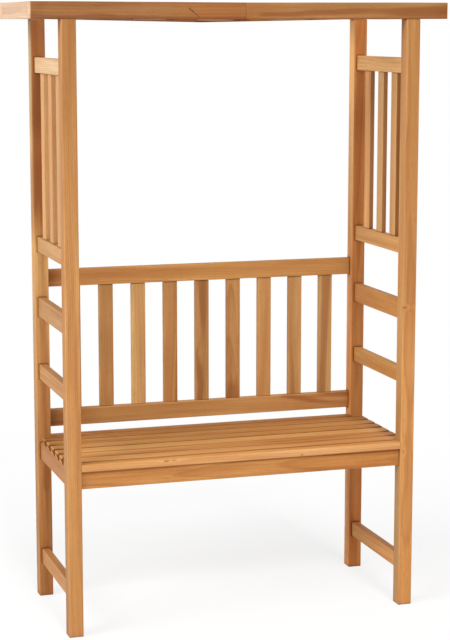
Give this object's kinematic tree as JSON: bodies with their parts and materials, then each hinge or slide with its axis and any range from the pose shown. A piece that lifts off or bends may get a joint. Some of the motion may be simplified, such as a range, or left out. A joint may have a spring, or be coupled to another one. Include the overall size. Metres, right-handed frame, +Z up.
{
  "type": "arbour seat",
  "caption": "Timber garden arbour with a slatted bench seat, a slatted backrest and slatted side panels on square posts, under an open roof frame of beams and cross rails.",
  "frame": {"origin": "on the ground, in the middle of the frame's width and depth", "axes": "+Z up, +X along the seat towards the sitter's left, +Y from the front to the back"},
  "size_m": [1.159, 0.43, 1.6988],
  "materials": {
    "post_wood": "planed, satin",
    "side_wood": "planed, satin",
    "backrest_wood": "planed, satin",
    "seat_wood": "planed, satin",
    "roof_wood": "planed, satin",
    "steel": "zinc plated"
  },
  "bodies": {
    "root": {"post_front_left": "post_wood", "post_front_right": "post_wood", "post_back_left": "post_wood", "post_back_right": "post_wood", "left_foot_rail": "side_wood", "left_seat_rail": "side_wood", "left_lower_arm_rail": "side_wood", "left_upper_arm_rail": "side_wood", "left_panel_bottom_rail": "side_wood", "left_panel_top_rail": "side_wood", "left_panel_slat_1": "side_wood", "left_panel_slat_2": "side_wood", "left_panel_slat_3": "side_wood", "right_foot_rail": "side_wood", "right_seat_rail": "side_wood", "right_lower_arm_rail": "side_wood", "right_upper_arm_rail": "side_wood", "right_panel_bottom_rail": "side_wood", "right_panel_top_rail": "side_wood", "right_panel_slat_1": "side_wood", "right_panel_slat_2": "side_wood", "right_panel_slat_3": "side_wood", "backrest_bottom_rail": "backrest_wood", "backrest_top_rail": "backrest_wood", "back_slat_1": "backrest_wood", "back_slat_2": "backrest_wood", "back_slat_3": "backrest_wood", "back_slat_4": "backrest_wood", "back_slat_5": "backrest_wood", "back_slat_6": "backrest_wood", "back_slat_7": "backrest_wood", "back_slat_8": "backrest_wood", "back_slat_9": "backrest_wood", "front_apron": "seat_wood", "rear_seat_rail": "seat_wood", "seat_bearer": "seat_wood", "seat_slat_1": "seat_wood", "seat_slat_2": "seat_wood", "seat_slat_3": "seat_wood", "seat_slat_4": "seat_wood", "seat_slat_5": "seat_wood", "seat_slat_6": "seat_wood", "seat_slat_7": "seat_wood", "seat_slat_8": "seat_wood", "roof_front_beam_left": "roof_wood", "roof_front_beam_right": "roof_wood", "roof_back_beam_left": "roof_wood", "roof_back_beam_right": "roof_wood", "roof_cross_rail_1": "roof_wood", "roof_cross_rail_2": "roof_wood", "roof_cross_rail_3": "roof_wood", "roof_cross_rail_4": "roof_wood", "roof_cross_rail_5": "roof_wood", "roof_cross_rail_6": "roof_wood", "roof_cross_rail_7": "roof_wood", "roof_cross_rail_8": "roof_wood", "roof_bolt_1": "steel", "roof_nut_1": "steel", "roof_bolt_2": "steel", "roof_nut_2": "steel"}
  },
  "joints": []
}
